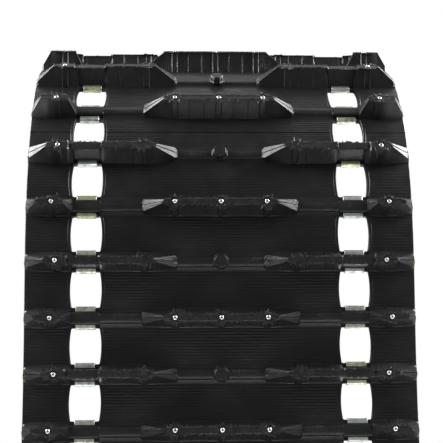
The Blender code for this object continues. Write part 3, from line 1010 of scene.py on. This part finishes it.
def rubber_material():
    """Near-black moulded rubber, scuffed on the cleats' tips, with fine ticks on their flanks."""
    n = Nodes("rubber")
    place = n.attribute("flat").outputs["Vector"]
    split = n.new("ShaderNodeSeparateXYZ", {}, i0=place)
    height = split.outputs[2]
    cloud = n.noise(place, 14.0, 5.0)
    grain = n.noise(place, 900.0, 2.0)
    pitted = n.noise(place, 240.0, 6.0, 0.7)
    flow = n.noise(n.stretched(place, (60.0, 500.0, 200.0)), 1.0, 3.0)
    dark, light = (0.0050, 0.0051, 0.0055, 1), (0.0082, 0.0083, 0.0089, 1)
    base = n.blend(n.remap(cloud, 0.35, 0.7), dark, light)
    at_tips = n.remap(height, 0.029, 0.0325)
    scuff = n.math("MULTIPLY", at_tips, n.remap(pitted, 0.45, 0.75), clamp=True)
    base = n.blend(n.math("MULTIPLY", scuff, 0.5), base, (0.045, 0.045, 0.046, 1))
    bloom = n.math("MULTIPLY", n.remap(flow, 0.55, 0.8), 0.25, clamp=True)
    base = n.blend(bloom, base, (0.024, 0.0245, 0.026, 1))
    n.set(n.shader, "Base Color", base)
    n.set(n.shader, "Roughness", n.remap(n.noise(place, 60.0, 5.0), 0.3, 0.75, 0.30, 0.46))
    n.set(n.shader, "Specular IOR Level", 0.24)
    flanks = n.math("MULTIPLY", n.remap(height, 0.0045, 0.007), n.remap(height, 0.020, 0.014))
    patches = n.math("MULTIPLY", n.remap(cloud, 0.5, 0.6), flanks)
    comb = n.math("SINE", n.math("MULTIPLY", split.outputs[0], 2 * math.pi / TICK_PITCH))
    inboard = n.remap(n.math("ABSOLUTE", split.outputs[0]), 0.236, 0.230)
    ticks = n.math("MULTIPLY", comb, n.math("MULTIPLY", patches, inboard))
    fine = n.bump(grain, 0.25, 0.0004)
    wavy = n.bump(flow, 0.35, 0.0008, fine)
    pits = n.bump(pitted, 0.3, 0.0006, wavy)
    n.set(n.shader, "Normal", n.bump(ticks, 0.3, 0.0006, pits))
    return n.material


def plated_material():
    """Zinc plating, from clip to clip between yellow-green and blue-grey."""
    n = Nodes("plated_steel")
    place = n.new("ShaderNodeTexCoord").outputs["Object"]
    tone = n.attribute("tone").outputs["Fac"]
    ramp = n.new("ShaderNodeValToRGB", {}, Fac=tone)
    stops = ramp.color_ramp.elements
    stops[0].position, stops[0].color = 0.0, (0.46, 0.49, 0.27, 1)
    stops[1].position, stops[1].color = 1.0, (0.50, 0.54, 0.57, 1)
    middle = stops.new(0.5)
    middle.color = (0.62, 0.62, 0.47, 1)
    mottled = n.noise(place, 160.0, 5.0, 0.6)
    streaks = n.noise(n.stretched(place, (40.0, 900.0, 900.0)), 1.0, 3.0)
    dark = n.blend(n.remap(mottled, 0.42, 0.72), ramp.outputs[0], (0.17, 0.18, 0.12, 1))
    streaky = n.remap(streaks, 0.5, 0.8, 0.0, 0.5)
    n.set(n.shader, "Base Color", n.blend(streaky, dark, (0.62, 0.64, 0.56, 1)))
    n.set(n.shader, "Metallic", 0.9)
    n.set(n.shader, "Roughness", n.remap(mottled, 0.3, 0.7, 0.28, 0.5))
    n.set(n.shader, "Normal", n.bump(streaks, 0.25, 0.0003, n.bump(mottled, 0.2, 0.0004)))
    return n.material


def grey(value):
    return value, value, value, 1


def steel_material(name, light, dark, roughness):
    n = Nodes(name)
    place = n.new("ShaderNodeTexCoord").outputs["Object"]
    mottled = n.noise(place, 700.0, 4.0)
    n.set(n.shader, "Base Color", n.blend(n.remap(mottled, 0.35, 0.7), light, dark))
    n.set(n.shader, "Metallic", 1.0)
    n.set(n.shader, "Roughness", n.remap(mottled, 0.3, 0.7, roughness, roughness + 0.15))
    n.set(n.shader, "Normal", n.bump(n.noise(place, 1500.0, 3.0), 0.2, 0.0002))
    return n.material


def fibreglass_material():
    n = Nodes("fibreglass")
    place = n.new("ShaderNodeTexCoord").outputs["Object"]
    strands = n.noise(n.stretched(place, (20.0, 1800.0, 1800.0)), 1.0, 4.0)
    mottled = n.noise(place, 300.0, 4.0)
    base = n.blend(n.remap(strands, 0.35, 0.7), (0.30, 0.26, 0.15, 1), (0.52, 0.47, 0.33, 1))
    stained = n.remap(mottled, 0.5, 0.8, 0.0, 0.5)
    n.set(n.shader, "Base Color", n.blend(stained, base, (0.2, 0.17, 0.11, 1)))
    n.set(n.shader, "Roughness", n.remap(mottled, 0.3, 0.7, 0.45, 0.65))
    n.set(n.shader, "Normal", n.bump(strands, 0.4, 0.0003))
    return n.material


RUBBER = rubber_material()
PLATED = plated_material()
STUD_STEEL = steel_material("stud_steel", grey(0.80), grey(0.60), 0.32)
# The studs' cores are dark grey carbide, and their colour is also painted shade: darker than carbide
# alone, to stand in for the shade in the recess around each core.
CARBIDE_AND_SHADE = steel_material("stud_core_and_painted_shade", (0.16, 0.16, 0.17, 1), (0.08, 0.08, 0.09, 1), 0.3)
FIBREGLASS = fibreglass_material()


# ---------------------------------------------------------------- assembly

def nodes_starting(prefix):
    return [name for name in sorted(frame["nodes"]) if name.startswith(prefix)]


def add_belt_pieces():
    """One piece from the middle of each segment to the next one's; the pair at the seam is separate."""
    for segment in range(SEGMENTS):
        follower = (segment + 1) % SEGMENTS
        if follower == SEAM_SEGMENT:
            last = belt_piece(f"belt_{segment:02d}_end", 2 * segment, ["centre"])
            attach(last, f"segment_{segment:02d}")
            first = belt_piece(f"belt_{follower:02d}_start", 2 * segment + 1, ["long"])
            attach(first, f"segment_{follower:02d}")
            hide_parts(f"belt_segment_{segment:02d}")
            continue
        piece = belt_piece(f"belt_{segment:02d}_{follower:02d}", 2 * segment, ["centre", "long"])
        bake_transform(piece)
        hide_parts(f"belt_segment_{segment:02d}")


def add_fittings():
    """Clips, studs and rods of every segment, in place of the plain ones where it has them."""
    rng = np.random.default_rng(7)
    for segment in range(SEGMENTS):
        body = f"segment_{segment:02d}"
        makers = (
            (clips_piece(segment, rng), "clip", "plated_steel"),
            (studs_piece(segment, rng), "stud", "stud_steel"),
            (rods_piece(segment), "rod", "fibreglass"),
        )
        for piece, word, slot in makers:
            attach(piece, body)
            stood_for = nodes_starting(f"{word}_{segment:02d}_")
            if stood_for:
                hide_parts(*stood_for)


# ---------------------------------------------------------------- studio

CAMERA_PLACE = (-0.0619, -1.7954, TOP_Z - 0.0973)
CAMERA_PITCH = math.radians(4.055)
CAMERA_YAW = math.radians(2.345)
CAMERA_ROLL = math.radians(0.141)
SENSOR = 36.0
LENS = 96.3061


def add_camera():
    data = bpy.data.cameras.new("camera")
    data.sensor_width = SENSOR
    data.lens = LENS
    data.clip_start = 0.05
    camera = bpy.data.objects.new("camera", data)
    forward = Vector((
        math.sin(CAMERA_YAW) * math.cos(CAMERA_PITCH),
        math.cos(CAMERA_YAW) * math.cos(CAMERA_PITCH),
        -math.sin(CAMERA_PITCH),
    ))
    turn = forward.to_track_quat("-Z", "Y").to_matrix().to_4x4()
    camera.matrix_world = Matrix.Translation(CAMERA_PLACE) @ turn @ Matrix.Rotation(CAMERA_ROLL, 4, "Z")
    bpy.context.scene.collection.objects.link(camera)
    bpy.context.scene.camera = camera


def add_light(name, place, target, size, power):
    data = bpy.data.lights.new(name, "AREA")
    data.shape = "RECTANGLE"
    data.size, data.size_y = size
    data.energy = power
    lamp = bpy.data.objects.new(name, data)
    lamp.location = place
    aim = Vector(target) - Vector(place)
    lamp.rotation_euler = aim.to_track_quat("-Z", "Y").to_euler()
    bpy.context.scene.collection.objects.link(lamp)


def add_lights():
    """Broad softboxes at both sides of the top, with weak ones above and in front."""
    for side, name in ((-1, "left"), (1, "right")):
        add_light(name, (side * 1.7, 0.25, TOP_Z + 0.88), (0, 0.1, TOP_Z - 0.1), (2.4, 1.25), 235)
    add_light("overhead", (0, 0.9, TOP_Z + 1.9), (0, 0, TOP_Z - 0.2), (2.6, 1.0), 15)
    add_light("front", (0, -2.7, TOP_Z - 0.66), (0, 0, TOP_Z - 0.66), (2.2, 1.1), 3.2)
    add_light("low front", (0, -1.0, 0.25), (0, -0.3, TOP_Z - 0.4), (2.2, 0.3), 10)


SURROUNDINGS = 0.25


def white_world():
    """Soft dim surroundings that the camera itself sees as plain white."""
    world = bpy.data.worlds.new("studio")
    world.use_nodes = True
    tree = world.node_tree
    background = tree.nodes["Background"]
    background.inputs["Color"].default_value = (1, 1, 1, 1)
    path = tree.nodes.new("ShaderNodeLightPath")
    strength = tree.nodes.new("ShaderNodeMapRange")
    strength.inputs["To Min"].default_value = SURROUNDINGS
    strength.inputs["To Max"].default_value = 1.0
    tree.links.new(path.outputs["Is Camera Ray"], strength.inputs[0])
    tree.links.new(strength.outputs[0], background.inputs["Strength"])
    bpy.context.scene.world = world


def floor_material():
    n = Nodes("floor")
    place = n.new("ShaderNodeTexCoord").outputs["Object"]
    n.set(n.shader, "Base Color", n.blend(n.noise(place, 3.0), grey(0.86), grey(0.90)))
    n.set(n.shader, "Roughness", 0.8)
    return n.material


def stage_sheet(name, corners, material):
    """Four-cornered sheet of the studio, which isn't part of the object."""
    mesh = bpy.data.meshes.new(name)
    mesh.from_pydata(corners, [], [(0, 1, 2, 3)])
    mesh.materials.append(material)
    sheet = linked(mesh)
    return sheet


def add_floor():
    reach = 2.6
    corners = [(-reach, -reach, 0), (reach, -reach, 0), (reach, reach, 0), (-reach, reach, 0)]
    floor = stage_sheet("floor", corners, floor_material())
    floor.location.z = -0.0005


def backing_material():
    """White to a camera that looks straight through the windows, and clear from every other side."""
    n = Nodes("backing")
    n.tree.nodes.remove(n.shader)
    facing = n.new("ShaderNodeNewGeometry").outputs["Incoming"]
    split = n.new("ShaderNodeSeparateXYZ", {}, i0=facing)
    towards_camera = n.math("MULTIPLY", split.outputs[1], -1.0)
    straight = n.remap(towards_camera, 0.90, 0.92)
    seen = n.new("ShaderNodeLightPath").outputs["Is Camera Ray"]
    white = n.new("ShaderNodeEmission", {}, Strength=1.0)
    clear = n.new("ShaderNodeBsdfTransparent")
    mix = n.new("ShaderNodeMixShader")
    n.tree.links.new(n.math("MULTIPLY", straight, seen), mix.inputs[0])
    n.tree.links.new(clear.outputs[0], mix.inputs[1])
    n.tree.links.new(white.outputs[0], mix.inputs[2])
    n.tree.links.new(mix.outputs[0], n.output.inputs["Surface"])
    return n.material


def add_backing():
    """Card inside the loop behind the front windows, as white as the surroundings."""
    half, low, high = 0.235, TOP_Z - 0.9, TOP_Z - 0.0035
    corners = [(-half, 0, low), (half, 0, low), (half, 0, high), (-half, 0, high)]
    stage_sheet("backing", corners, backing_material())


add_belt_pieces()
add_fittings()
add_camera()
add_lights()
white_world()
add_floor()
add_backing()
bpy.context.scene.view_settings.view_transform = "Standard"
